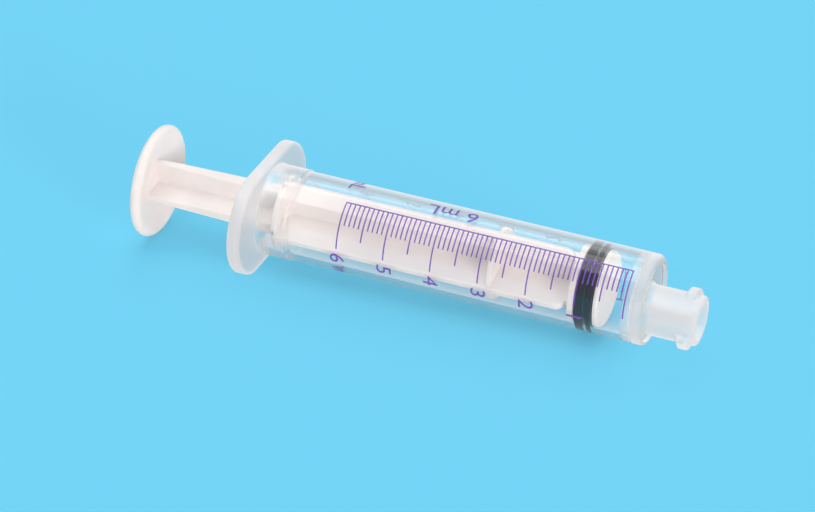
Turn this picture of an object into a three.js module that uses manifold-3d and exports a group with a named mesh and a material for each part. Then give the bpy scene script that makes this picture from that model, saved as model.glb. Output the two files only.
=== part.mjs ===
// A 6 mL oral syringe with an off-centre enteral nozzle, lying on its side.
// Three pieces: the clear barrel, the white plunger and the black seal ring that the plunger carries.
// Millimetres, +X along the barrel towards the nozzle, +Z up. The origin is the middle of the bottom of
// the box round the syringe. Stations along the axis are measured from the thumb side of the flange.

import * as THREE from "three";
import { mergeVertices } from "three/addons/utils/BufferGeometryUtils.js";
import Module from "manifold-3d";

const wasm = await Module();
wasm.setup();

// ---- barrel ----------------------------------------------------------------------------------------
const BARREL_R = 7.2;
const BORE_R = 6.35;
const BORE_ENTRY_R = 6.75;
const BORE_ENTRY_DEPTH = 1.2;
const BORE_END = 64.4;
const BORE_CORNER = 0.3;
const FACE_X = 66.45;
const FACE_EDGE_R = 1.15;
const FACE_RECESS = 0.5;
const FACE_RECESS_R = 6.05;
const FACE_RECESS_FLOOR_R = 5.65;
const COLLAR_R = 7.4;
const COLLAR_END = 7.05;
const BEAD_R = 6.26;
const BEAD_HALF = 0.45;

// ---- finger flange ---------------------------------------------------------------------------------
const FLANGE_T = 2.2;
const FLANGE_HALF_HEIGHT = 8.4;
const FLANGE_HALF_WIDTH = 13.55;
const FLANGE_END_R = 8.6;
const FLANGE_CORNER_R = 1.6;
const FLANGE_EDGE_R = 0.5;

// ---- nozzle ----------------------------------------------------------------------------------------
const NOZZLE_OFFSET = 2.6;
const NOZZLE_R = 3.95;
const NOZZLE_END = 74.75;
const NOZZLE_EDGE_R = 0.4;
const NOZZLE_FILLET = 0.4;
const SOCKET_MOUTH_R = 2.85;
const SOCKET_FLOOR_R = 2.7;
const SOCKET_FLOOR_X = 66.9;
const SOCKET_FLARE = 0.65;
const DOSE_TIP_R = 1.35;
const DOSE_TIP_END = 73.2;
const DOSE_TIP_EDGE = 0.15;
const CHANNEL_R = 0.5;
const LUG_R = 4.87;
const LUG_X = 72.85;
const LUG_BASE = 2.3;
const LUG_CREST = 1.1;
const LUG_EDGE = 0.15;
const LUG_SPREAD = 90;
const LUG_TURN = -35;

// ---- plunger ---------------------------------------------------------------------------------------
const PLUNGER_ROLL = 13.2;
const PAD_R = 9.25;
const PAD_BACK_X = -19.05;
const PAD_RIM_T = 1.7;
const PAD_RIM_EDGE_R = 0.83;
const PAD_DISH_R = 7.9;
const PAD_DISH_FLOOR_R = 5.5;
const PAD_DISH_FLOOR_X = -17.85;
const REAR_BLADE_AT_PAD = { half: 4.5, thickness: 1.05 };
const REAR_BLADE_AT_DISC = { half: 4.6, thickness: 2.25 };
const FRONT_BLADE = { half: 6.2, thickness: 1.0 };
const GUIDE_DISC_X = [4.85, 41.15];
const GUIDE_DISC_R = 5.8;
const GUIDE_DISC_T = 0.8;
const DISC_EDGE = 0.15;
const HEAD_BACK_X = 54.2;
const GROOVE_BACK_X = 55.28;
const GROOVE_FRONT_X = 58.33;
const HEAD_FRONT_X = 59.1;
const HEAD_R = 6.17;
const CORE_R = 4.5;

// ---- seal ------------------------------------------------------------------------------------------
const SEAL_CLEARANCE = 0.05;
const SEAL_BORE_R = CORE_R + 0.1;
const SEAL_END_GAP = 0.05;
const SEAL_RIB_R = BORE_R - SEAL_CLEARANCE;
const SEAL_WAIST_R = 5.85;
const SEAL_WAIST_SHARE = 0.58;
const SEAL_WAIST_HALF = 0.1;
const SEAL_RIB_EDGE = 0.2;

const ROUND = 64;
const SMALL_ROUND = 40;
const TINY_ROUND = 20;
// How far pieces reach into each other, and how far cuts reach past what they cut.
const OVERLAP = 0.4;
const PAST = 1;

// ---- booleans --------------------------------------------------------------------------------------
// A closed geometry as a solid. Triangles that shrink to nothing where a turned shape meets its axis are
// dropped.
function toSolid(geometry) {
  const bare = geometry.clone();
  bare.deleteAttribute("normal");
  bare.deleteAttribute("uv");
  const merged = mergeVertices(bare, 1e-4);
  const corners = merged.index.array;
  const triVerts = [];
  for (let i = 0; i < corners.length; i += 3) {
    const [a, b, c] = corners.subarray(i, i + 3);
    if (a !== b && b !== c && c !== a) triVerts.push(a, b, c);
  }
  return new wasm.Manifold(
    new wasm.Mesh({
      numProp: 3,
      vertProperties: merged.attributes.position.array,
      triVerts: new Uint32Array(triVerts),
    }),
  );
}

function toGeometry(solid) {
  const mesh = solid.getMesh();
  const geometry = new THREE.BufferGeometry();
  geometry.setAttribute("position", new THREE.BufferAttribute(mesh.vertProperties, 3));
  geometry.setIndex(new THREE.BufferAttribute(mesh.triVerts, 1));
  geometry.computeVertexNormals();
  return geometry;
}

function joined(geometries) {
  return geometries.map(toSolid).reduce((a, b) => a.add(b));
}

// ---- shapes ----------------------------------------------------------------------------------------
// A turned solid about the X axis from [station, radius] pairs, listed from the low to the high station.
function turned(profile, segments) {
  const points = profile.map(([x, r]) => new THREE.Vector2(r, x));
  return new THREE.LatheGeometry(points, segments).rotateZ(-Math.PI / 2);
}

// The quarter round of an edge: from the side wall at radius r to the end face at station x.
function roundedEnd(x, r, edge, steps) {
  const points = [];
  for (let i = 0; i <= steps; i += 1) {
    const a = (i / steps) * (Math.PI / 2);
    points.push([x - edge + edge * Math.sin(a), r - edge + edge * Math.cos(a)]);
  }
  return points;
}

function roundedStart(x, r, edge, steps) {
  return roundedEnd(-x, r, edge, steps)
    .map(([s, q]) => [-s, q])
    .reverse();
}

// A flat outline drawn in the YZ plane and extruded along X.
function plate(shape, x, thickness, bevel) {
  const geometry = new THREE.ExtrudeGeometry(shape, {
    depth: thickness - 2 * bevel,
    bevelEnabled: bevel > 0,
    bevelThickness: bevel,
    bevelSize: bevel,
    bevelOffset: -bevel,
    bevelSegments: 3,
    curveSegments: 14,
  });
  geometry.rotateX(Math.PI / 2);
  geometry.rotateZ(Math.PI / 2);
  return geometry.translate(x + bevel, 0, 0);
}

// ---- barrel parts ----------------------------------------------------------------------------------
function barrelWall() {
  return turned(
    [
      [OVERLAP, 0],
      [OVERLAP, COLLAR_R],
      [COLLAR_END, COLLAR_R],
      [COLLAR_END + (COLLAR_R - BARREL_R), BARREL_R],
      ...roundedEnd(FACE_X, BARREL_R, FACE_EDGE_R, 5),
      [FACE_X, FACE_RECESS_R],
      [FACE_X - FACE_RECESS, FACE_RECESS_FLOOR_R],
      [FACE_X - FACE_RECESS, 0],
    ],
    ROUND,
  );
}

// Points along an arc, without its last one, so that arcs that meet can follow each other in a list.
function arc(y, z, radius, from, to, steps) {
  const points = [];
  for (let i = 0; i < steps; i += 1) {
    const a = from + ((to - from) * i) / steps;
    points.push(new THREE.Vector2(y + radius * Math.cos(a), z + radius * Math.sin(a)));
  }
  return points;
}

// The finger flange: flats above and below, large rounds to the two sides, small rounds between them.
function flangeOutline() {
  const endCentre = FLANGE_HALF_WIDTH - FLANGE_END_R;
  const reach = FLANGE_END_R - FLANGE_CORNER_R;
  const cornerZ = FLANGE_HALF_HEIGHT - FLANGE_CORNER_R;
  const sweep = Math.asin(cornerZ / reach);
  const cornerY = endCentre + reach * Math.cos(sweep);
  const side = [
    ...arc(cornerY, -cornerZ, FLANGE_CORNER_R, -Math.PI / 2, -sweep, 4),
    ...arc(endCentre, 0, FLANGE_END_R, -sweep, sweep, 22),
    ...arc(cornerY, cornerZ, FLANGE_CORNER_R, sweep, Math.PI / 2, 4),
    new THREE.Vector2(cornerY, FLANGE_HALF_HEIGHT),
  ];
  const otherSide = side.map((p) => p.clone().negate());
  return new THREE.Shape([...side, ...otherSide]);
}

// The bore: a flared entry, the bead that keeps the seal in, the chamber and its flat end.
function bore() {
  return turned(
    [
      [-PAST, 0],
      [-PAST, BORE_ENTRY_R],
      [0, BORE_ENTRY_R],
      [BORE_ENTRY_DEPTH, BORE_R],
      [COLLAR_END - 2 * BEAD_HALF, BORE_R],
      [COLLAR_END - BEAD_HALF, BEAD_R],
      [COLLAR_END + BEAD_HALF, BEAD_R],
      [COLLAR_END + 2 * BEAD_HALF, BORE_R],
      [BORE_END - BORE_CORNER, BORE_R],
      [BORE_END, BORE_R - BORE_CORNER],
      [BORE_END, 0],
    ],
    ROUND,
  );
}

function nozzleBody() {
  const face = FACE_X - FACE_RECESS;
  return turned(
    [
      [face - OVERLAP, 0],
      [face - OVERLAP, NOZZLE_R + NOZZLE_FILLET],
      [face + NOZZLE_FILLET / 4, NOZZLE_R + NOZZLE_FILLET],
      [face + NOZZLE_FILLET * 1.25, NOZZLE_R],
      ...roundedEnd(NOZZLE_END, NOZZLE_R, NOZZLE_EDGE_R, 3),
      [NOZZLE_END, 0],
    ],
    SMALL_ROUND,
  );
}

// One thread lug: a tapered ridge bent round the nozzle, its middle turned from straight up about the axis.
function lugBody(turn) {
  const start = Math.PI / 2 - THREE.MathUtils.degToRad(LUG_SPREAD) / 2;
  const shape = new THREE.Shape();
  shape.absarc(0, 0, LUG_R, start, Math.PI - start, false);
  shape.absarc(0, 0, NOZZLE_R - 2 * OVERLAP, Math.PI - start, start, true);
  const back = LUG_X - LUG_BASE / 2 - OVERLAP;
  const front = LUG_X + LUG_BASE / 2 + OVERLAP;
  const blank = plate(shape, back, front - back, 0).rotateX(THREE.MathUtils.degToRad(turn));
  const ridge = turned(
    [
      [back, 0],
      [back, NOZZLE_R - OVERLAP],
      [LUG_X - LUG_CREST / 2 - LUG_EDGE, LUG_R - LUG_EDGE],
      [LUG_X - LUG_CREST / 2, LUG_R],
      [LUG_X + LUG_CREST / 2, LUG_R],
      [LUG_X + LUG_CREST / 2 + LUG_EDGE, LUG_R - LUG_EDGE],
      [front, NOZZLE_R - OVERLAP],
      [front, 0],
    ],
    SMALL_ROUND,
  );
  return toSolid(blank).intersect(toSolid(ridge));
}

// The socket of the nozzle, which leaves the dose tip standing in its middle.
function socket() {
  return turned(
    [
      [SOCKET_FLOOR_X, DOSE_TIP_R],
      [SOCKET_FLOOR_X, SOCKET_FLOOR_R],
      [NOZZLE_END - SOCKET_FLARE / 2, SOCKET_MOUTH_R],
      [NOZZLE_END + SOCKET_FLARE / 2, SOCKET_MOUTH_R + SOCKET_FLARE / 2],
      [NOZZLE_END + SOCKET_FLARE / 2, 0],
      [DOSE_TIP_END, 0],
      [DOSE_TIP_END, DOSE_TIP_R - DOSE_TIP_EDGE],
      [DOSE_TIP_END - DOSE_TIP_EDGE, DOSE_TIP_R],
      [SOCKET_FLOOR_X, DOSE_TIP_R],
    ],
    SMALL_ROUND,
  );
}

function channel() {
  return turned(
    [
      [BORE_END - PAST, 0],
      [BORE_END - PAST, CHANNEL_R],
      [DOSE_TIP_END + PAST, CHANNEL_R],
      [DOSE_TIP_END + PAST, 0],
    ],
    TINY_ROUND,
  );
}

function makeBarrel() {
  const aside = [0, -NOZZLE_OFFSET, 0];
  const lugs = lugBody(LUG_TURN).add(lugBody(LUG_TURN + 180));
  const nozzle = toSolid(nozzleBody()).add(lugs).translate(aside);
  const outside = joined([barrelWall(), plate(flangeOutline(), 0, FLANGE_T, FLANGE_EDGE_R)]);
  const solid = outside
    .add(nozzle)
    .subtract(toSolid(bore()))
    .subtract(toSolid(socket()).translate(aside))
    .subtract(toSolid(channel()).translate(aside));
  const material = new THREE.MeshStandardMaterial({
    color: 0xd9e4ea,
    roughness: 0.25,
    metalness: 0,
    transparent: true,
    opacity: 0.4,
  });
  return namedMesh("barrel", solid, material);
}

// ---- plunger parts ---------------------------------------------------------------------------------
// The thumb pad: a round disc with a rounded rim, a little dished on the side of the rod.
function thumbPad() {
  const rimFront = PAD_BACK_X + PAD_RIM_T;
  return turned(
    [
      [PAD_BACK_X, 0],
      ...roundedStart(PAD_BACK_X, PAD_R, PAD_RIM_EDGE_R, 5),
      ...roundedEnd(rimFront, PAD_R, PAD_RIM_EDGE_R, 5),
      [rimFront, PAD_DISH_R],
      [PAD_DISH_FLOOR_X, PAD_DISH_FLOOR_R],
      [PAD_DISH_FLOOR_X, 0],
    ],
    ROUND,
  );
}

// A blade through the axis, from one size at station x0 to another at x1.
function blade(x0, x1, start, end) {
  const geometry = new THREE.BoxGeometry(x1 - x0, 1, 1);
  const corners = geometry.attributes.position;
  for (let i = 0; i < corners.count; i += 1) {
    const { half, thickness } = corners.getX(i) < 0 ? start : end;
    corners.setY(i, corners.getY(i) * 2 * half);
    corners.setZ(i, corners.getZ(i) * thickness);
  }
  return geometry.translate((x0 + x1) / 2, 0, 0);
}

// A rod of cross-shaped section: two blades at right angles, rolled a little about the axis.
function crossRod(x0, x1, start, end) {
  const across = blade(x0, x1, start, end).rotateX(THREE.MathUtils.degToRad(PLUNGER_ROLL));
  const upright = across.clone().rotateX(Math.PI / 2);
  return [across, upright];
}

function disc(x0, x1, radius) {
  return turned(
    [
      [x0, 0],
      [x0, radius - DISC_EDGE],
      [x0 + DISC_EDGE, radius],
      [x1 - DISC_EDGE, radius],
      [x1, radius - DISC_EDGE],
      [x1, 0],
    ],
    ROUND,
  );
}

function headCore() {
  return turned(
    [
      [GROOVE_BACK_X - OVERLAP, 0],
      [GROOVE_BACK_X - OVERLAP, CORE_R],
      [GROOVE_FRONT_X + OVERLAP, CORE_R],
      [GROOVE_FRONT_X + OVERLAP, 0],
    ],
    ROUND,
  );
}

function makePlunger() {
  const rodStep = GUIDE_DISC_X[0];
  const pieces = [
    thumbPad(),
    ...crossRod(PAD_DISH_FLOOR_X - OVERLAP, rodStep, REAR_BLADE_AT_PAD, REAR_BLADE_AT_DISC),
    ...crossRod(rodStep - GUIDE_DISC_T / 4, HEAD_BACK_X + OVERLAP, FRONT_BLADE, FRONT_BLADE),
    ...GUIDE_DISC_X.map((x) => disc(x - GUIDE_DISC_T / 2, x + GUIDE_DISC_T / 2, GUIDE_DISC_R)),
    disc(HEAD_BACK_X, GROOVE_BACK_X, HEAD_R),
    headCore(),
    disc(GROOVE_FRONT_X, HEAD_FRONT_X, HEAD_R),
  ];
  const material = new THREE.MeshStandardMaterial({ color: 0xf4f1ee, roughness: 0.5, metalness: 0 });
  return namedMesh("plunger", joined(pieces), material);
}

// ---- seal ------------------------------------------------------------------------------------------
// A ring with a wide back rib, a narrow waist and a front rib.
function makeSealRing() {
  const back = GROOVE_BACK_X + SEAL_END_GAP;
  const front = GROOVE_FRONT_X - SEAL_END_GAP;
  const waist = back + SEAL_WAIST_SHARE * (front - back);
  const rib = SEAL_WAIST_HALF + SEAL_RIB_EDGE;
  const profile = [
    [back, SEAL_BORE_R],
    [back, SEAL_RIB_R - SEAL_RIB_EDGE],
    [back + SEAL_RIB_EDGE, SEAL_RIB_R],
    [waist - rib, SEAL_RIB_R],
    [waist - SEAL_WAIST_HALF, SEAL_WAIST_R],
    [waist + SEAL_WAIST_HALF, SEAL_WAIST_R],
    [waist + rib, SEAL_RIB_R],
    [front - SEAL_RIB_EDGE, SEAL_RIB_R],
    [front, SEAL_RIB_R - SEAL_RIB_EDGE],
    [front, SEAL_BORE_R],
    [back, SEAL_BORE_R],
  ];
  const material = new THREE.MeshStandardMaterial({ color: 0x15161a, roughness: 0.45, metalness: 0 });
  return namedMesh("seal_ring", toSolid(turned(profile, ROUND)), material);
}

function namedMesh(name, solid, material) {
  const mesh = new THREE.Mesh(toGeometry(solid), material);
  mesh.name = name;
  return mesh;
}

const syringe = new THREE.Group();
syringe.add(makeBarrel(), makePlunger(), makeSealRing());
syringe.position.set(-(PAD_BACK_X + NOZZLE_END) / 2, 0, PAD_R);

export default syringe;
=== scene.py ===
"""The looks of a 6 mL oral syringe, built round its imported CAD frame.

The barrel and the plunger are skins stretched over rings of points, one ring after another along the
axis. Sizes are millimetres until a mesh is made. A station is a place along the axis, measured from the
thumb side of the finger flange towards the nozzle. A turn is an angle round the axis, from straight up
towards the viewer's side, which is -Y.
"""

import math

import bmesh
import bpy
import numpy as np
from mathutils import Matrix, Vector


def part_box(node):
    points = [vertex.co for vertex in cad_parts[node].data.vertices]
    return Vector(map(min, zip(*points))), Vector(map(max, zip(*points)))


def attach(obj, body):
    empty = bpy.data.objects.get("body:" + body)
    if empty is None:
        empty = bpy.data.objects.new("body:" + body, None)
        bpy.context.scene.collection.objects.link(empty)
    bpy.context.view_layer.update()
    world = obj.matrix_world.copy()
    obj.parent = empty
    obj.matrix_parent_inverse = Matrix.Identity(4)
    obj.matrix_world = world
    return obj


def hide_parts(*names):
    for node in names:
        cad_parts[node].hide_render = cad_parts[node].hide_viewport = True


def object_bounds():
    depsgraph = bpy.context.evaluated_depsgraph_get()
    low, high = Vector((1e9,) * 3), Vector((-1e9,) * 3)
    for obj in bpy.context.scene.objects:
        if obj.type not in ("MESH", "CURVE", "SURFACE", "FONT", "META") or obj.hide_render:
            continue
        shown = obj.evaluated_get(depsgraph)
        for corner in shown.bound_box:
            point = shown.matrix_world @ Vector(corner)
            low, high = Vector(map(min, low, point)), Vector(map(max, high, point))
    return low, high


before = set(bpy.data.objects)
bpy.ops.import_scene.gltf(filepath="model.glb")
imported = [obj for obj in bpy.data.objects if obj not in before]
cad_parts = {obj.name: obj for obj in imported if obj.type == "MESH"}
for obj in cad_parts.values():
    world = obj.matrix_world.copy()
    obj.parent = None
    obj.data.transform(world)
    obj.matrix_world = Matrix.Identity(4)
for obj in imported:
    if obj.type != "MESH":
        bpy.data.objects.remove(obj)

cad_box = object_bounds()
MM = 0.001

# ---- the frame's own sizes ---------------------------------------------------------------------------
barrel_low, barrel_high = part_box("barrel")
plunger_low, plunger_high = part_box("plunger")
seal_low, seal_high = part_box("seal_ring")
ORIGIN = Vector((barrel_low.x, (seal_low.y + seal_high.y) / 2, (seal_low.z + seal_high.z) / 2))


def station(x):
    """A place along the row frame's X, in metres, as a station in millimetres."""
    return (x - ORIGIN.x) / MM


NOZZLE_END = station(barrel_high.x)
PAD_BACK = station(plunger_low.x)
HEAD_FRONT = station(plunger_high.x)
SEAL_BACK = station(seal_low.x)
SEAL_FRONT = station(seal_high.x)
FLANGE_HALF_WIDTH = (barrel_high.y - barrel_low.y) / 2 / MM
FLANGE_HALF_HEIGHT = (barrel_high.z - barrel_low.z) / 2 / MM
PAD_R = (plunger_high.z - plunger_low.z) / 2 / MM

# ---- barrel, in millimetres --------------------------------------------------------------------------
BARREL_R = 7.2
BORE_R = 6.35
BORE_ENTRY_R = 6.75
COLLAR_R = 7.4
COLLAR_END = 7.05
BEAD_R = 6.26
BEAD_HALF_LENGTH = 0.75
CHAMBER_END = 64.4
FACE_X = 66.45
RIM_R = 6.42
RIM_ASIDE = 0.44
RIM_EDGE_R = 1.2
FRONT_CONTACT = FACE_X - 1.15
FACE_RECESS = 0.5
NOZZLE_ROOT_R = 4.35
FLANGE_T = 2.2
FLANGE_END_R = 8.6
FLANGE_EDGE_R = 0.5
FLANGE_FLAT_INSET = 0.58
FLANGE_CORNER_BLEND = 0.35
NOZZLE_ASIDE = 2.6
NOZZLE_R = 3.95
LUG_R = 4.87
LUG_X = 72.85
LUG_BASE = 2.4
LUG_CREST = 1.1
LUG_TURN = math.radians(-35)
LUG_HALF_TURN = math.radians(46)
SOCKET_MOUTH_R = 2.85
SOCKET_FLOOR_R = 2.7
SOCKET_FLOOR = 66.9
DOSE_TIP_R = 1.35
DOSE_TIP_END = 73.2
CHANNEL_R = 0.5

# ---- plunger, in millimetres -------------------------------------------------------------------------
PLUNGER_ROLL = math.radians(13.2)
PAD_RIM_T = 1.7
PAD_RIM_EDGE_R = 0.83
PAD_DISH_R = 7.9
PAD_DISH_FLOOR_R = 5.5
PAD_DISH_FLOOR = -17.85
REAR_BLADE_AT_PAD = (4.5, 1.05)
REAR_BLADE_AT_DISC = (4.6, 2.25)
FRONT_BLADE = (6.2, 1.0)
GUIDE_STATIONS = (4.85, 41.15)
GUIDE_R = 5.8
GUIDE_T = 0.8
HEAD_BACK = 54.2
HEAD_R = 6.17
CORE_R = 4.5
SEAL_SIDE_GAP = 0.06
SEAL_SQUEEZE = 0.012
SEAL_GROOVE_DEPTH = 0.45

# ---- printed scale, in millimetres and degrees -------------------------------------------------------
CAPACITY_ML = 6
SCALE_START = 16.15
SCALE_END = 63.48
INK_LIFT = 0.004
INK_THICK = 0.02
LINE_WIDTH = 0.22
BASELINE_TURN = 27.0
TICK_TURNS = {10: 89.9, 5: 74.1, 1: 57.8}
DIGIT_HEIGHT = 2.45
DIGIT_STRETCH = 1.22
DIGIT_TURN = 104.6
DIGIT_SHIFT = 0.12
UNIT_STRETCH = 1.1
UNIT_TURN = 143.5
CAPACITY_HEIGHT = 2.6
CAPACITY_STRETCH = 1.12
CAPACITY_X = 32.8
CAPACITY_TURN = 3.2
FAR_SCALE_TURN = 200.0

SEGMENTS = 256
TURNS = np.linspace(0, 2 * math.pi, SEGMENTS, endpoint=False)


# ---- rings and skins ---------------------------------------------------------------------------------
def ring(x, radius, aside=0.0):
    """Points round a circle whose centre is aside from the axis, towards -Y."""
    across = -aside - radius * np.sin(TURNS)
    return np.column_stack([np.broadcast_to(x, TURNS.shape), across, radius * np.cos(TURNS)])


def rings(profile, aside=0.0):
    return [ring(x, r, aside) for x, r in profile]


def rounded(corners, steps=6):
    """(x, r) points along a line with corners (x, r, radius), each turned into an arc of that radius."""
    points = [corners[0][:2]]
    for before, corner, after in zip(corners, corners[1:], corners[2:]):
        tip = np.array(corner[:2], float)
        back = np.array(before[:2], float) - tip
        ahead = np.array(after[:2], float) - tip
        back /= np.linalg.norm(back)
        ahead /= np.linalg.norm(ahead)
        half = math.acos(np.clip(back @ ahead, -1, 1)) / 2
        if corner[2] <= 0 or math.pi / 2 - half < 1e-3:
            points.append(tuple(tip))
            continue
        middle = back + ahead
        centre = tip + middle / np.linalg.norm(middle) * corner[2] / math.sin(half)
        start = tip + back * corner[2] / math.tan(half) - centre
        end = tip + ahead * corner[2] / math.tan(half) - centre
        sweep = math.acos(np.clip(start @ end / corner[2] ** 2, -1, 1))
        for k in range(steps + 1):
            s = k / steps
            mix = (math.sin((1 - s) * sweep) * start + math.sin(s * sweep) * end) / math.sin(sweep)
            points.append(tuple(centre + mix))
    points.append(corners[-1][:2])
    return points


def smoothstep(value):
    t = np.clip(value, 0, 1)
    return t * t * (3 - 2 * t)


def to_object(name, points, faces, milk=None):
    """A smooth mesh object from points in stations and millimetres. milk, if given, is stored on them."""
    mesh = bpy.data.meshes.new(name)
    placed = np.asarray(points) * MM + np.array(ORIGIN)
    mesh.from_pydata(placed.tolist(), [], faces)
    if milk is not None:
        mesh.attributes.new("milk", "FLOAT", "POINT").data.foreach_set("value", milk)
    mesh.validate()
    work = bmesh.new()
    work.from_mesh(mesh)
    bmesh.ops.recalc_face_normals(work, faces=work.faces)
    work.to_mesh(mesh)
    work.free()
    mesh.shade_smooth()
    made = bpy.data.objects.new(name, mesh)
    bpy.context.scene.collection.objects.link(made)
    return made


def skin(name, loops, closed, milk=None):
    """A skin over rings of equally many points: closed joins the last ring to the first, and otherwise
    each end ring is drawn in to a point at its middle. milk is one value for each ring."""
    count = len(loops[0])
    points = np.concatenate(loops)
    faces = []
    pairs = len(loops) if closed else len(loops) - 1
    for k in range(pairs):
        a = k * count
        b = (k + 1) % len(loops) * count
        for i in range(count):
            j = (i + 1) % count
            faces.append((a + i, a + j, b + j, b + i))
    if not closed:
        ends = np.array([loops[0].mean(0), loops[-1].mean(0)])
        last = (len(loops) - 1) * count
        for i in range(count):
            j = (i + 1) % count
            faces.append((len(points), j, i))
            faces.append((len(points) + 1, last + i, last + j))
        points = np.concatenate([points, ends])
    return to_object(name, points, faces, None if milk is None else np.repeat(milk, count))


def keep_flats_flat(made, angle):
    """Shades flat faces flat up to their rounded edges, and keeps edges sharper than angle crisp."""
    made.data.set_sharp_from_angle(angle=math.radians(angle))
    weighted = made.modifiers.new("weighted", "WEIGHTED_NORMAL")
    weighted.keep_sharp = True
    weighted.weight = 90


# ---- barrel ------------------------------------------------------------------------------------------
def flange_outline():
    """The flange's outline: flats above and below and a large round at each side, blended together.
    Between the two rounds' centres there is only the flat."""
    centre = FLANGE_HALF_WIDTH - FLANGE_END_R
    blend = FLANGE_CORNER_BLEND
    flat = FLANGE_HALF_HEIGHT / np.maximum(np.abs(np.cos(TURNS)), 1e-6)
    side = centre * np.abs(np.sin(TURNS)) + np.sqrt(FLANGE_END_R**2 - (centre * np.cos(TURNS)) ** 2)
    side = np.where(FLANGE_HALF_HEIGHT * np.abs(np.tan(TURNS)) < centre, flat + blend, side)
    h = np.clip(0.5 + (side - flat) / (2 * blend), 0, 1)
    return side * (1 - h) + flat * h - blend * h * (1 - h)


def flange_ring(x, inset):
    """The flange's outline at station x, drawn in by inset along its own normals."""
    outline = ring(x, flange_outline())
    along = np.roll(outline, -1, axis=0) - np.roll(outline, 1, axis=0)
    along /= np.linalg.norm(along, axis=1)[:, None]
    inward = np.column_stack([np.zeros(SEGMENTS), along[:, 2], -along[:, 1]])
    towards_axis = np.sign(-(inward * outline)[:, 1:].sum(axis=1))
    return outline + inset * inward * towards_axis[:, None]


def flange_rim(steps=6):
    """The rim's two rounded edges, from the thumb side's flat to the barrel side's."""
    back = []
    for k in range(steps + 1):
        a = k / steps * math.pi / 2
        back.append(flange_ring(FLANGE_EDGE_R * (1 - math.sin(a)), FLANGE_EDGE_R * (1 - math.cos(a))))
    ahead = [loop * (-1, 1, 1) + (FLANGE_T, 0, 0) for loop in back]
    return back[::-1] + ahead


def bore_entry():
    """From the bore out over its rounded mouth on to the flange's thumb face."""
    return rounded([(3.0, BORE_R, 0), (1.4, BORE_R, 1.2), (0.0, BORE_ENTRY_R, 0.45), (0.0, 7.3, 0)])[1:]


def flange_root():
    """The small fillet between the flange's front face and the collar."""
    corners = [(FLANGE_T, COLLAR_R + 0.36, 0), (FLANGE_T, COLLAR_R, 0.3), (COLLAR_END, COLLAR_R, 0)]
    return rounded(corners)[:-1]


def collar():
    """The slightly wider tube ahead of the flange, and the step down from it to the barrel."""
    step_end = COLLAR_END + 0.22
    return rounded(
        [
            (4.5, COLLAR_R, 0),
            (COLLAR_END, COLLAR_R, 0.12),
            (step_end, BARREL_R, 0.12),
            (step_end + 0.5, BARREL_R, 0),
        ]
    )


def wall():
    return [(x, BARREL_R) for x in np.linspace(COLLAR_END + 1, CHAMBER_END + 0.1, 24)]


def end_wall():
    """The outside of the barrel round its solid front end."""
    return [(x, BARREL_R) for x in (CHAMBER_END + 0.5, FACE_X - RIM_EDGE_R - 0.1)]


def front_rim(steps=7):
    """The rounded front edge of the barrel, which is narrow beside the nozzle."""
    outer, inner, width = front_edge()
    made = []
    for k in range(steps + 1):
        a = k / steps * math.pi / 2
        loop = inner + (outer - inner) * math.cos(a)
        loop[:, 0] = FACE_X - width * (1 - math.sin(a))
        made.append(loop)
    return made


def front_edge():
    """The rings between which the front rim curves, and how far apart they are."""
    outer = ring(0, BARREL_R)
    inner = ring(0, RIM_R, RIM_ASIDE)
    return outer, inner, np.linalg.norm((outer - inner)[:, 1:], axis=1)


def face_depth():
    """How far the front face lies behind the rim, all round: nothing where the nozzle leaves no room."""
    inner = front_edge()[1]
    room = np.linalg.norm((inner - ring(0, NOZZLE_ROOT_R, NOZZLE_ASIDE))[:, 1:], axis=1)
    return FACE_RECESS * smoothstep((room - 0.3) / 1.2)


def front_face():
    inner = front_edge()[1]
    root = ring(0, NOZZLE_ROOT_R, NOZZLE_ASIDE)
    made = []
    for share in (0.03, 0.07, 0.11, 0.15, 0.19, 0.24, 0.4, 0.6, 0.8, 0.95):
        loop = inner + (root - inner) * share
        loop[:, 0] = FACE_X - face_depth() * smoothstep((share - 0.03) / 0.16)
        made.append(loop)
    return made


def nozzle_root(steps=7):
    """The fillet from the front face on to the nozzle."""
    fillet = NOZZLE_ROOT_R - NOZZLE_R
    depth = face_depth()
    made = []
    for k in range(steps + 1):
        a = k / steps * math.pi / 2
        radius = NOZZLE_R + fillet * (1 - math.sin(a))
        made.append(ring(FACE_X - depth + (depth + fillet) * (1 - math.cos(a)), radius, NOZZLE_ASIDE))
    return made


def lug_height(x):
    """How far the two lugs stand out of the nozzle at a station, all round it."""
    slope = (LUG_BASE - LUG_CREST) / 2
    rise = smoothstep((LUG_BASE / 2 - abs(x - LUG_X)) / slope)
    from_lug = np.abs((TURNS - LUG_TURN + math.pi / 2) % math.pi - math.pi / 2)
    spread = smoothstep((LUG_HALF_TURN - from_lug) / math.radians(9))
    return (LUG_R - NOZZLE_R) * rise * spread


def nozzle_outside():
    stations = [67.4, 68.5, 70.0, 71.2, *np.linspace(LUG_X - LUG_BASE / 2, LUG_X + LUG_BASE / 2, 25)]
    return [ring(x, NOZZLE_R + lug_height(x), NOZZLE_ASIDE) for x in stations]


def nozzle_tip():
    return rounded([(74.0, NOZZLE_R, 0), (NOZZLE_END, NOZZLE_R, 0.45), (NOZZLE_END, 3.3, 0)])[1:-1]


def nozzle_mouth():
    mouth_edge = (NOZZLE_END, SOCKET_MOUTH_R + 0.12, 0.2)
    return rounded([(NOZZLE_END, 3.4, 0), mouth_edge, (73.5, SOCKET_MOUTH_R, 0)])


def socket_wall():
    """The socket's tapered wall, from near its mouth to near its floor."""
    start, end = 67.6, 73.2
    taper = (SOCKET_MOUTH_R - SOCKET_FLOOR_R) / (end - start)
    return [(x, SOCKET_FLOOR_R + taper * (x - start)) for x in (end, 70, start)]


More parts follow.
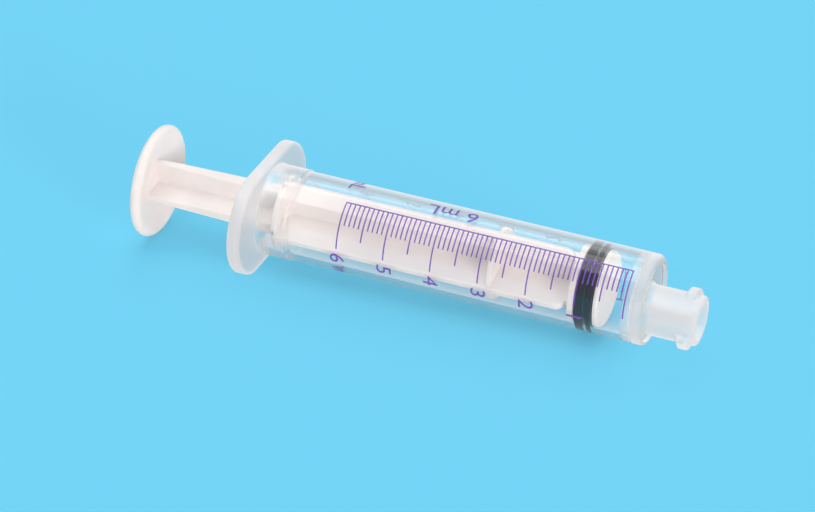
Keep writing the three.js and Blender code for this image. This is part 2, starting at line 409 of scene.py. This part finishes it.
def socket_floor():
    return rounded(
        [
            (67.5, SOCKET_FLOOR_R, 0),
            (SOCKET_FLOOR, SOCKET_FLOOR_R, 0.25),
            (SOCKET_FLOOR, DOSE_TIP_R + 0.1, 0.25),
            (67.5, DOSE_TIP_R + 0.1, 0),
        ]
    )


def dose_tip():
    return rounded(
        [
            (68.0, DOSE_TIP_R + 0.1, 0),
            (DOSE_TIP_END, DOSE_TIP_R, 0.3),
            (DOSE_TIP_END, CHANNEL_R, 0.15),
            (DOSE_TIP_END - 0.5, CHANNEL_R, 0),
        ]
    )


def channel():
    return [(x, CHANNEL_R) for x in (72, 70, 68, 66, CHAMBER_END + 0.2)]


def chamber_end():
    """From the channel's mouth across the end of the chamber, from the nozzle's axis to the barrel's."""
    inner, outer = CHANNEL_R + 0.15, BORE_R - 0.8
    return [
        ring(CHAMBER_END, inner + (outer - inner) * share, NOZZLE_ASIDE * (1 - share))
        for share in (0, 0.25, 0.5, 0.75, 1)
    ]


def chamber_corner():
    return rounded([(CHAMBER_END, 5.7, 0), (CHAMBER_END, BORE_R, 0.5), (63.2, BORE_R, 0)])


def bore_wall():
    """From the chamber's end back to the entry, over the bead that keeps the seal in."""
    ahead = [(x, BORE_R) for x in np.linspace(CHAMBER_END - 1.5, COLLAR_END + 1.2, 24)]
    bead = [
        (COLLAR_END + BEAD_HALF_LENGTH * math.cos(a), BORE_R - (BORE_R - BEAD_R) * math.sin(a) ** 2)
        for a in np.linspace(0, math.pi, 13)
    ]
    return ahead + bead + [(4.5, BORE_R)]


def make_barrel():
    """The barrel's one skin, section by section. Each has its milk: the thicker the plastic, the milkier it
    looks and the brighter its painted glow."""
    sections = (
        (rings(bore_entry()), 0.3),
        ([flange_ring(0, FLANGE_FLAT_INSET)], 0.22),
        (flange_rim(), 0.4),
        ([flange_ring(FLANGE_T, FLANGE_FLAT_INSET)], 0.22),
        (rings(flange_root()), 0.22),
        (rings(collar()), 0.12),
        (rings(wall()), 0.004),
        (rings(end_wall()), 0.5),
        (front_rim()[:3], 0.4),
        (front_rim()[3:], 0.22),
        (front_face(), 0.18),
        (nozzle_root(), 0.27),
        (nozzle_outside(), 0.28),
        (rings(nozzle_tip(), NOZZLE_ASIDE), 0.55),
        (rings(nozzle_mouth(), NOZZLE_ASIDE), 0.45),
        (rings(socket_wall(), NOZZLE_ASIDE), 0.22),
        (rings(socket_floor(), NOZZLE_ASIDE), 0.4),
        (rings(dose_tip(), NOZZLE_ASIDE), 0.4),
        (rings(channel(), NOZZLE_ASIDE), 0.2),
        (chamber_end(), 0.15),
        (rings(chamber_corner()), 0.35),
        (rings(bore_wall()), 0.004),
    )
    loops = [loop for section, _ in sections for loop in section]
    milk = [value for section, value in sections for _ in section]
    made = skin("barrel_shell", loops, closed=True, milk=milk)
    keep_flats_flat(made, 40)
    made.data.materials.append(clear_plastic())
    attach(made, "barrel")
    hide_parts("barrel")


# ---- plunger -----------------------------------------------------------------------------------------
def cross_outline(half, thickness, tip=0.25, fillet=0.3):
    """(y, z) points round a cross of two blades, with rounded tips and filleted inner corners."""
    t = thickness / 2
    quarter = []
    for k in range(5):
        a = k / 4 * math.pi / 2
        quarter.append((half - tip + tip * math.cos(a), t - tip + tip * math.sin(a)))
    for s in np.linspace(0, 1, 14)[1:-1]:
        quarter.append((half - tip + (t + fillet - half + tip) * s, t))
    for k in range(9):
        a = k / 8 * math.pi / 2
        quarter.append((t + fillet - fillet * math.sin(a), t + fillet - fillet * math.cos(a)))
    for s in np.linspace(0, 1, 14)[1:-1]:
        quarter.append((t, t + fillet + (half - tip - t - fillet) * s))
    for k in range(4):
        a = k / 4 * math.pi / 2
        quarter.append((t - tip + tip * math.cos(a), half - tip + tip * math.sin(a)))
    outline = []
    for turn in range(4):
        c, s = round(math.cos(turn * math.pi / 2)), round(math.sin(turn * math.pi / 2))
        outline += [(y * c - z * s, y * s + z * c) for y, z in quarter]
    return np.array(outline)


def cross_ring(x, blade, shrink=0.0, fillet=0.3):
    outline = cross_outline(blade[0] - shrink, blade[1], fillet=fillet)
    return np.column_stack([np.full(len(outline), x), outline])


def round_ring(x, radius, like):
    """A circle whose points lie at the same angles as those of the ring like."""
    angle = np.arctan2(like[:, 2], like[:, 1])
    return np.column_stack([np.full(len(like), x), radius * np.cos(angle), radius * np.sin(angle)])


def widest(a, b):
    """At each angle, the point of a or b that is farther from the axis, at a's station."""
    keep = np.linalg.norm(a[:, 1:], axis=1) >= np.linalg.norm(b[:, 1:], axis=1)
    out = np.where(keep[:, None], a, b)
    out[:, 0] = a[:, 0]
    return out


def disc_rings(x0, x1, radius, before, after, edge=0.15):
    """A disc on the rod: its back face grows out of the section before, its front face shrinks to after."""
    made = []
    for x, r in rounded([(x0, 0.5 * radius, 0), (x0, radius, edge), ((x0 + x1) / 2, radius, 0)])[1:]:
        made.append(widest(round_ring(x, r, before), before))
    for x, r in rounded([((x0 + x1) / 2, radius, 0), (x1, radius, edge), (x1, 0.5 * radius, 0)])[:-1]:
        made.append(widest(round_ring(x, r, after), after) if x < x1 - 1e-6 else round_ring(x, r, after))
    return made


def rear_blade(x):
    """The rear blades' half width and thickness, which grow from the pad to the first disc."""
    share = (x - PAD_DISH_FLOOR) / (GUIDE_STATIONS[0] - PAD_DISH_FLOOR)
    return tuple(a + (b - a) * share for a, b in zip(REAR_BLADE_AT_PAD, REAR_BLADE_AT_DISC))


def front_blade(x):
    return FRONT_BLADE


def rod_rings(x0, x1, blade_at, count):
    return [cross_ring(x, blade_at(x)) for x in np.linspace(x0, x1, count)]


def flared_root(size=0.4, steps=5):
    """The rear blades' first sections, whose inner corners narrow as they leave the pad."""
    made = []
    for k in range(steps):
        a = k / steps * math.pi / 2
        x = PAD_DISH_FLOOR + size * (1 - math.cos(a))
        made.append(cross_ring(x, rear_blade(x), fillet=0.3 + size * (1 - math.sin(a))))
    return made


def pad_rings(like):
    """The thumb pad: slightly domed under the thumb, round at the rim and a little dished at the rod."""
    rim_front = PAD_BACK + PAD_RIM_T
    profile = rounded(
        [
            (PAD_BACK, 0.02, 0),
            (PAD_BACK + 0.01, 7.6, 8),
            (PAD_BACK + 0.04, PAD_R, 0.8),
            (rim_front, PAD_R, PAD_RIM_EDGE_R),
            (rim_front, PAD_DISH_R, 3),
            (PAD_DISH_FLOOR, PAD_DISH_FLOOR_R, 2),
            (PAD_DISH_FLOOR, 5.1, 0),
        ],
        steps=9,
    )
    return [round_ring(x, r, like) for x, r in profile]


def head_rings(like):
    """The rod's rounded end, the head's back disc, the core under the seal and the front disc."""
    back = rounded(
        [
            (HEAD_BACK, 0.8 * HEAD_R, 0),
            (HEAD_BACK, HEAD_R, 0.2),
            (SEAL_BACK - SEAL_SIDE_GAP, HEAD_R, 0.12),
            (SEAL_BACK - SEAL_SIDE_GAP, CORE_R, 0.1),
            (SEAL_FRONT + SEAL_SIDE_GAP, CORE_R, 0.1),
            (SEAL_FRONT + SEAL_SIDE_GAP, HEAD_R, 0.12),
            (HEAD_FRONT, HEAD_R, 0.25),
            (HEAD_FRONT, 0.05, 0),
        ]
    )
    return [round_ring(x, r, like) for x, r in back]


def rod_end(steps=7):
    """The front blades' corners round off just behind the head."""
    drop = 1.3
    made = []
    for k in range(1, steps + 1):
        a = k / steps * math.pi / 2
        x = HEAD_BACK - 0.75 - drop + drop * math.sin(a)
        made.append(cross_ring(x, FRONT_BLADE, shrink=drop * (1 - math.cos(a))))
    return made


def make_plunger():
    first, second = GUIDE_STATIONS
    half = GUIDE_T / 2
    at_pad = cross_ring(0, REAR_BLADE_AT_PAD)
    at_disc = cross_ring(0, REAR_BLADE_AT_DISC)
    ahead = cross_ring(0, FRONT_BLADE)
    loops = (
        pad_rings(at_pad)
        + flared_root()
        + rod_rings(PAD_DISH_FLOOR + 0.5, first - half - 0.1, rear_blade, 16)
        + disc_rings(first - half, first + half, GUIDE_R, at_disc, ahead)
        + rod_rings(first + half + 0.02, second - half - 0.02, front_blade, 20)
        + disc_rings(second - half, second + half, GUIDE_R, ahead, ahead)
        + rod_rings(second + half + 0.02, HEAD_BACK - 2.1, front_blade, 8)
        + rod_end()
        + head_rings(ahead)
    )
    c, s = math.cos(PLUNGER_ROLL), math.sin(PLUNGER_ROLL)
    for loop in loops:
        y, z = loop[:, 1].copy(), loop[:, 2].copy()
        loop[:, 1] = y * c - z * s
        loop[:, 2] = y * s + z * c
    made = skin("plunger_rod", loops, closed=False)
    keep_flats_flat(made, 40)
    made.data.materials.append(white_plastic())
    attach(made, "plunger")
    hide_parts("plunger")


# ---- seal --------------------------------------------------------------------------------------------
def make_seal():
    """A ring with two rounded ribs pressed on the bore, and a narrow groove between them."""
    rib = BORE_R + SEAL_SQUEEZE
    root = rib - SEAL_GROOVE_DEPTH
    groove = SEAL_BACK + 0.6 * (SEAL_FRONT - SEAL_BACK)
    inner = CORE_R + 0.08
    profile = rounded(
        [
            (groove, inner, 0),
            (SEAL_BACK, inner, 0.1),
            (SEAL_BACK, rib, 0.25),
            (groove - 0.17, rib, 0.1),
            (groove - 0.1, root, 0.08),
            (groove + 0.1, root, 0.08),
            (groove + 0.17, rib, 0.1),
            (SEAL_FRONT, rib, 0.25),
            (SEAL_FRONT, inner, 0.1),
            (groove + 0.1, inner, 0),
        ]
    )
    made = skin("seal", rings(profile), closed=True)
    keep_flats_flat(made, 50)
    # The seal keeps the plain black material that the frame gives its solid.
    made.data.materials.append(bpy.data.materials["black_rubber"])
    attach(made, "seal")
    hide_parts("seal_ring")


# ---- printed scale -----------------------------------------------------------------------------------
def wrapped(along, turn, lift):
    """Points on the barrel: a station, a turn in radians and a lift off the surface."""
    radius = BARREL_R + lift
    return np.column_stack([along, -radius * np.sin(turn), radius * np.cos(turn)])


def bar(x0, x1, turn0, turn1, steps):
    """A thin closed strip of ink, bent round the barrel: its points and faces."""
    turns = np.radians(np.linspace(turn0, turn1, steps + 1))
    corners = [(x0, INK_LIFT), (x1, INK_LIFT), (x1, INK_LIFT + INK_THICK), (x0, INK_LIFT + INK_THICK)]
    points = np.concatenate([wrapped(np.full(len(turns), x), turns, lift) for x, lift in corners])
    n = steps + 1
    faces = []
    for side in range(4):
        a, b = side * n, (side + 1) % 4 * n
        faces += [(a + i, a + i + 1, b + i + 1, b + i) for i in range(steps)]
    faces.append((0, n, 2 * n, 3 * n))
    faces.append((steps, 3 * n + steps, 2 * n + steps, n + steps))
    return points, faces


def merged(parts):
    points, faces, base = [], [], 0
    for part_points, part_faces in parts:
        points.append(part_points)
        faces += [tuple(base + i for i in face) for face in part_faces]
        base += len(part_points)
    return np.concatenate(points), faces


def scale_bars(turn):
    """The baseline and a tick for each tenth of a millilitre, from the full mark to the empty one."""
    tenths = CAPACITY_ML * 10
    pitch = (SCALE_END - SCALE_START) / tenths
    half = LINE_WIDTH / 2
    half_turn = math.degrees(half / BARREL_R)
    low, high = turn + BASELINE_TURN - half_turn, turn + BASELINE_TURN + half_turn
    parts = [bar(SCALE_START - half, SCALE_END + half, low, high, 2)]
    for tenth in range(tenths + 1):
        tick_end = next(end for step, end in TICK_TURNS.items() if tenth % step == 0)
        x = SCALE_END - tenth * pitch
        parts.append(bar(x - half, x + half, high, turn + tick_end, 24))
    return parts


def flat_text(text, height, stretch):
    """The mesh of a text lying flat: x along the reading direction and y up, with its middle at x = 0."""
    curve = bpy.data.curves.new("text", "FONT")
    curve.body = text
    curve.size = 1
    curve.extrude = 0.5
    curve.resolution_u = 6
    holder = bpy.data.objects.new("text", curve)
    bpy.context.scene.collection.objects.link(holder)
    bpy.context.view_layer.update()
    work = bmesh.new()
    work.from_mesh(holder.evaluated_get(bpy.context.evaluated_depsgraph_get()).to_mesh())
    bpy.data.objects.remove(holder)
    bmesh.ops.remove_doubles(work, verts=work.verts, dist=1e-5)
    lows = [min(v.co[k] for v in work.verts) for k in range(2)]
    highs = [max(v.co[k] for v in work.verts) for k in range(2)]
    size = height / (highs[1] - lows[1])
    for v in work.verts:
        v.co.x = (v.co.x - (lows[0] + highs[0]) / 2) * size * stretch
        v.co.y = (v.co.y - lows[1]) * size
    return work


def sliced(work, axis, step=0.12):
    """Cuts a flat mesh into narrow strips across axis, so that it can bend."""
    normal = Vector((1, 0, 0)) if axis == 0 else Vector((0, 1, 0))
    low = min(v.co[axis] for v in work.verts)
    high = max(v.co[axis] for v in work.verts)
    for place in np.arange(low + step / 2, high, step):
        everything = work.verts[:] + work.edges[:] + work.faces[:]
        bmesh.ops.bisect_plane(work, geom=everything, plane_co=normal * place, plane_no=normal)
    return work


def text_part(text, height, stretch, x, turn, down):
    """A printed word: read towards growing turn with its tops to the nozzle if down, and otherwise read
    back along the barrel with its tops towards growing turn. x and turn are its middle."""
    work = sliced(flat_text(text, height, stretch), 0 if down else 1)
    co = np.array([v.co[:] for v in work.verts])
    faces = [tuple(v.index for v in face.verts) for face in work.faces]
    work.free()
    lift = np.where(co[:, 2] > 0, INK_LIFT + INK_THICK, INK_LIFT)
    middle = height / 2
    if down:
        points = wrapped(x + co[:, 1] - middle, math.radians(turn) + co[:, 0] / BARREL_R, lift)
    else:
        points = wrapped(x - co[:, 0], math.radians(turn) + (co[:, 1] - middle) / BARREL_R, lift)
    return points, faces


def number_parts(turn):
    """The figure beside each whole millilitre's tick, and the unit after the full mark's figure."""
    parts = []
    for number in range(1, CAPACITY_ML + 1):
        x = SCALE_END - number * (SCALE_END - SCALE_START) / CAPACITY_ML + DIGIT_SHIFT
        parts.append(text_part(str(number), DIGIT_HEIGHT, DIGIT_STRETCH, x, turn + DIGIT_TURN, True))
    unit_x = SCALE_START + DIGIT_SHIFT
    parts.append(text_part("mL", DIGIT_HEIGHT, UNIT_STRETCH, unit_x, turn + UNIT_TURN, True))
    return parts


def make_print():
    capacity = text_part(
        f"{CAPACITY_ML} mL", CAPACITY_HEIGHT, CAPACITY_STRETCH, CAPACITY_X, CAPACITY_TURN, False
    )
    prints = {
        "scale_lines_near": scale_bars(0),
        "scale_lines_far": scale_bars(FAR_SCALE_TURN),
        "scale_numbers_near": number_parts(0),
        "scale_numbers_far": number_parts(FAR_SCALE_TURN),
        "capacity_mark": [capacity],
    }
    ink = purple_ink()
    for name, parts in prints.items():
        made = to_object(name, *merged(parts))
        made.data.shade_flat()
        made.data.materials.append(ink)
        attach(made, "barrel")


# ---- materials ---------------------------------------------------------------------------------------
def principled(name, **values):
    """A new material and its Principled shader, with values set on the shader's own sockets."""
    material = bpy.data.materials.new(name)
    material.use_nodes = True
    shader = material.node_tree.nodes["Principled BSDF"]
    for socket, value in values.items():
        shader.inputs[socket.replace("_", " ")].default_value = value
    return material, shader


def noise(material, scale, detail=2.0, stretch=(1, 1, 1)):
    """Noise in the object's own space, in cycles per metre, drawn out along the axes."""
    nodes, links = material.node_tree.nodes, material.node_tree.links
    place = nodes.new("ShaderNodeTexCoord")
    mapping = nodes.new("ShaderNodeMapping")
    mapping.inputs["Scale"].default_value = stretch
    texture = nodes.new("ShaderNodeTexNoise")
    texture.inputs["Scale"].default_value = scale
    texture.inputs["Detail"].default_value = detail
    links.new(place.outputs["Object"], mapping.inputs["Vector"])
    links.new(mapping.outputs["Vector"], texture.inputs["Vector"])
    return texture.outputs["Fac"]


def ranged(material, value, low, high, start=0.3, end=0.7):
    """value between start and end, turned into a number between low and high."""
    node = material.node_tree.nodes.new("ShaderNodeMapRange")
    node.inputs["From Min"].default_value = start
    node.inputs["From Max"].default_value = end
    node.inputs["To Min"].default_value = low
    node.inputs["To Max"].default_value = high
    material.node_tree.links.new(value, node.inputs["Value"])
    return node.outputs["Result"]


def tinted(material, value, dark, light):
    """A colour between dark and light, by value."""
    node = material.node_tree.nodes.new("ShaderNodeMix")
    node.data_type = "RGBA"
    node.inputs["A"].default_value = (*dark, 1)
    node.inputs["B"].default_value = (*light, 1)
    material.node_tree.links.new(ranged(material, value, 0, 1), node.inputs["Factor"])
    return node.outputs["Result"]


def bumped(material, shader, value, height):
    """Raises the surface by value times height, in metres."""
    node = material.node_tree.nodes.new("ShaderNodeBump")
    node.inputs["Strength"].default_value = 1.0
    node.inputs["Distance"].default_value = height
    links = material.node_tree.links
    links.new(value, node.inputs["Height"])
    links.new(node.outputs["Normal"], shader.inputs["Normal"])


def mixed_shaders(material, share, first, second):
    """A Mix Shader of two shaders: share is how much of the second one shows."""
    node = material.node_tree.nodes.new("ShaderNodeMixShader")
    if isinstance(share, float):
        node.inputs["Fac"].default_value = share
    else:
        material.node_tree.links.new(share, node.inputs["Fac"])
    material.node_tree.links.new(first.outputs[0], node.inputs[1])
    material.node_tree.links.new(second.outputs[0], node.inputs[2])
    return node


def math_node(material, operation, *values):
    """A Math node whose inputs are other nodes' outputs or plain numbers."""
    node = material.node_tree.nodes.new("ShaderNodeMath")
    node.operation = operation
    for socket, value in zip(node.inputs, values):
        if isinstance(value, float):
            socket.default_value = value
        else:
            material.node_tree.links.new(value, socket)
    return node


def clear_plastic():
    """Polypropylene: clear where it is thin, and hazy where the mesh says that it is thick and where it is
    seen edge on; the haze is partly a painted glow, brighter on upward faces.
    Light shines through it on to the rest."""
    material, shader = principled("clear_polypropylene", IOR=1.49, Transmission_Weight=1.0)
    nodes, link = material.node_tree.nodes, material.node_tree.links.new
    flow = noise(material, 260, stretch=(0.35, 1, 1))
    link(tinted(material, flow, (0.985, 0.985, 0.985), (1.0, 0.998, 0.995)), shader.inputs["Base Color"])
    bumped(material, shader, noise(material, 200, 1.0, (0.25, 1, 1)), 0.0000008)
    milk = nodes.new("ShaderNodeAttribute")
    milk.attribute_name = "milk"
    milk = milk.outputs["Fac"]
    link(ranged(material, milk, 0.05, 0.4, 0.012, 0.3), shader.inputs["Roughness"])
    hazy_and_painted_glow = haze(material, milk)
    haze_share_with_painted_light = haze_amount(material, milk)
    milky_with_painted_glow = mixed_shaders(material, haze_share_with_painted_light, shader, hazy_and_painted_glow)
    clear = nodes.new("ShaderNodeBsdfTransparent")
    clear.inputs["Color"].default_value = (0.99, 0.985, 0.98, 1)
    path = nodes.new("ShaderNodeLightPath")
    around = mixed_shaders(material, path.outputs["Is Diffuse Ray"], milky_with_painted_glow, clear)
    lamps = mixed_shaders(material, path.outputs["Is Shadow Ray"], around, clear)
    link(lamps.outputs[0], nodes["Material Output"].inputs["Surface"])
    return material


def upwardness(material):
    """How far the surface faces up: 1 straight up, -1 straight down."""
    facing = material.node_tree.nodes.new("ShaderNodeNewGeometry")
    split = material.node_tree.nodes.new("ShaderNodeSeparateXYZ")
    material.node_tree.links.new(facing.outputs["Normal"], split.inputs["Vector"])
    return split.outputs["Z"]


def haze(material, milk):
    """The light scattered inside the plastic: mostly a painted glow, an emission that is no lamp, painted
    brighter where the surface faces up to the lamps or the plastic is thick, and for the rest a plain lit
    surface."""
    nodes = material.node_tree.nodes
    back = nodes.new("ShaderNodeBsdfDiffuse")
    back.inputs["Color"].default_value = (0.9, 0.87, 0.86, 1)
    # Painted glow: an emission, though the plastic is no lamp, standing in for the light its haze scatters;
    # painted brighter on upward faces and on thick plastic.
    glow = nodes.new("ShaderNodeEmission")
    glow.inputs["Color"].default_value = (0.87, 0.86, 0.88, 1)
    painted_top_glow = ranged(material, upwardness(material), 0.4, 1.0, 0.0, 0.85)
    painted_deep_glow = ranged(material, milk, 0.0, 0.86, 0.0, 0.3)
    painted_glow_strength = math_node(material, "MAXIMUM", painted_top_glow, painted_deep_glow)
    material.node_tree.links.new(painted_glow_strength.outputs["Value"], glow.inputs["Strength"])
    painted_glow_share = 0.8
    return mixed_shaders(material, painted_glow_share, back, glow)


def haze_amount(material, milk):
    """How much of the haze and its painted glow shows: the milk, and more where the surface is seen edge
    on, painted stronger where it faces up to the lamps.
    """
    slant = material.node_tree.nodes.new("ShaderNodeLayerWeight")
    edge_on = math_node(material, "POWER", slant.outputs["Facing"], 2.2)
    # Painted top light: the haze and its painted glow show more on faces turned up to the lamps above.
    strength = ranged(material, upwardness(material), 0.42, 1.3, 0.25, 0.85)
    haze_share_with_painted_light = math_node(material, "MULTIPLY_ADD", edge_on.outputs["Value"], strength, milk)
    haze_share_with_painted_light.use_clamp = True
    return haze_share_with_painted_light.outputs["Value"]


def white_plastic():
    """White polypropylene with a satin moulded surface."""
    material, shader = principled("white_polypropylene", Roughness=0.42, Subsurface_Weight=0.25)
    shader.inputs["Subsurface Radius"].default_value = (1.0, 0.9, 0.8)
    shader.inputs["Subsurface Scale"].default_value = 0.0009
    link = material.node_tree.links.new
    cloud = noise(material, 180, 3.0)
    link(tinted(material, cloud, (0.87, 0.81, 0.79), (0.93, 0.87, 0.85)), shader.inputs["Base Color"])
    link(ranged(material, noise(material, 900, 2.0), 0.36, 0.5), shader.inputs["Roughness"])
    bumped(material, shader, noise(material, 2600, 3.0), 0.000008)
    return material


def purple_ink():
    """Printing ink, thin enough to let a little of what is behind it through."""
    material, shader = principled("purple_ink", Roughness=0.4, Alpha=0.8)
    link = material.node_tree.links.new
    cloud = noise(material, 1500, 2.0)
    link(tinted(material, cloud, (0.2, 0.075, 0.48), (0.26, 0.105, 0.56)), shader.inputs["Base Color"])
    link(ranged(material, cloud, 0.35, 0.5), shader.inputs["Roughness"])
    return material


# ---- stage -------------------------------------------------------------------------------------------
FLOOR_BLUE = (0.178, 0.665, 0.939)
FLOOR_REACH = 12.0
FLOOR_CELLS = 24
FLOOR_GLOW = 0.4


def make_floor():
    """A wide floor that touches the rim of the thumb pad and the front of the barrel. It glows a little,
    which softens the shadow. The light that bounces off it on to the syringe sees a plain light grey."""
    pad_x = ORIGIN.x + (PAD_BACK + PAD_RIM_T / 2) * MM
    front_x = ORIGIN.x + FRONT_CONTACT * MM
    rise = (PAD_R - BARREL_R) * MM
    slope = math.atan2(rise, front_x - pad_x)
    work = bmesh.new()
    bmesh.ops.create_grid(work, x_segments=FLOOR_CELLS, y_segments=FLOOR_CELLS, size=FLOOR_REACH)
    mesh = bpy.data.meshes.new("floor")
    work.to_mesh(mesh)
    work.free()
    made = bpy.data.objects.new("floor", mesh)
    bpy.context.scene.collection.objects.link(made)
    made.rotation_euler = (0, -slope, 0)
    made.location = (pad_x, 0, ORIGIN.z - PAD_R * MM)
    material, shader = principled("floor", Roughness=0.9)
    shader.inputs["Specular IOR Level"].default_value = 0.0
    nodes, links = material.node_tree.nodes, material.node_tree.links
    path = nodes.new("ShaderNodeLightPath")
    paint = nodes.new("ShaderNodeMix")
    paint.data_type = "RGBA"
    paint.inputs["A"].default_value = (*FLOOR_BLUE, 1)
    paint.inputs["B"].default_value = (0.8, 0.8, 0.8, 1)
    links.new(path.outputs["Is Diffuse Ray"], paint.inputs["Factor"])
    links.new(paint.outputs["Result"], shader.inputs["Base Color"])
    glow = nodes.new("ShaderNodeEmission")
    glow.inputs["Color"].default_value = (*FLOOR_BLUE, 1)
    lit = mixed_shaders(material, FLOOR_GLOW, shader, glow)
    seen = mixed_shaders(material, path.outputs["Is Diffuse Ray"], lit, shader)
    links.new(seen.outputs[0], nodes["Material Output"].inputs["Surface"])
    made.data.materials.append(material)


def add_softbox(name, azimuth, elevation, distance, size, power, colour):
    """A square softbox that faces the syringe: azimuth 0 is out along -Y, and 90 is out past the nozzle."""
    centre = (cad_box[0] + cad_box[1]) / 2
    a, e = math.radians(azimuth), math.radians(elevation)
    away = Vector((math.sin(a) * math.cos(e), -math.cos(a) * math.cos(e), math.sin(e)))
    light = bpy.data.lights.new(name, "AREA")
    light.size = size
    light.energy = power
    light.color = colour
    holder = bpy.data.objects.new(name, light)
    holder.location = centre + away * distance
    holder.rotation_mode = "QUATERNION"
    holder.rotation_quaternion = away.to_track_quat("Z", "Y")
    bpy.context.scene.collection.objects.link(holder)
    return holder


def make_lights():
    add_softbox("above", 280, 80, 1.0, 0.8, 4.8, (1, 0.985, 0.97))
    add_softbox("behind", 195, 50, 1.1, 0.6, 1.4, (1, 0.985, 0.97)).visible_glossy = False
    add_softbox("fill", 52, 12, 1.1, 0.4, 5.2, (1, 0.96, 0.94)).visible_glossy = False
    add_softbox("back_left", 205, 42, 1.0, 0.3, 0.35, (1, 0.98, 0.96))


def make_world():
    """The room: white and brighter near the horizon as light on the syringe, a dim blue in reflections and
    through the plastic, and the floor's colour to the camera."""
    world = bpy.data.worlds.new("studio")
    world.use_nodes = True
    nodes, link = world.node_tree.nodes, world.node_tree.links.new
    room = nodes["Background"]
    sky = nodes.new("ShaderNodeTexCoord")
    height = nodes.new("ShaderNodeSeparateXYZ")
    fade = nodes.new("ShaderNodeMapRange")
    fade.inputs["To Min"].default_value = 1.0
    fade.inputs["To Max"].default_value = 0.15
    link(sky.outputs["Generated"], height.inputs["Vector"])
    link(height.outputs["Z"], fade.inputs["Value"])
    tint = nodes.new("ShaderNodeMix")
    tint.data_type = "RGBA"
    tint.inputs["A"].default_value = (0.24, 0.4, 0.48, 1)
    tint.inputs["B"].default_value = (1, 1, 1, 1)
    strength = nodes.new("ShaderNodeMix")
    strength.inputs["A"].default_value = 1.0
    link(fade.outputs["Result"], strength.inputs["B"])
    path = nodes.new("ShaderNodeLightPath")
    for mix in (tint, strength):
        link(path.outputs["Is Diffuse Ray"], mix.inputs["Factor"])
    link(tint.outputs["Result"], room.inputs["Color"])
    link(strength.outputs["Result"], room.inputs["Strength"])
    backdrop = nodes.new("ShaderNodeBackground")
    backdrop.inputs["Color"].default_value = (*FLOOR_BLUE, 1)
    shown = nodes.new("ShaderNodeMixShader")
    link(path.outputs["Is Camera Ray"], shown.inputs["Fac"])
    link(room.outputs["Background"], shown.inputs[1])
    link(backdrop.outputs["Background"], shown.inputs[2])
    link(shown.outputs["Shader"], nodes["World Output"].inputs["Surface"])
    bpy.context.scene.world = world


def make_camera():
    """The camera at azimuth 20.3 and elevation 31.5 degrees, rolled a little."""
    azimuth, elevation, roll = (math.radians(v) for v in (20.315, 31.537, 2.73))
    distance, aside, up_by = 0.47970, -0.00230, -0.00185
    level_back = Vector((math.sin(azimuth), -math.cos(azimuth), 0))
    back = level_back * math.cos(elevation) + Vector((0, 0, math.sin(elevation)))
    level = Vector((math.cos(azimuth), math.sin(azimuth), 0))
    upright = back.cross(level)
    right = level * math.cos(roll) + upright * math.sin(roll)
    up = back.cross(right)
    centre = (cad_box[0] + cad_box[1]) / 2
    data = bpy.data.cameras.new("camera")
    data.lens = 134.37
    data.sensor_width = 36
    data.clip_start = 0.01
    data.clip_end = 100
    holder = bpy.data.objects.new("camera", data)
    place = centre + back * distance + right * aside + up * up_by
    holder.matrix_world = Matrix.Translation(place) @ Matrix((right, up, back)).transposed().to_4x4()
    bpy.context.scene.collection.objects.link(holder)
    bpy.context.scene.camera = holder


bpy.context.scene.view_settings.view_transform = "Standard"
make_camera()
make_lights()
make_world()
make_floor()
make_barrel()
make_plunger()
make_seal()
make_print()
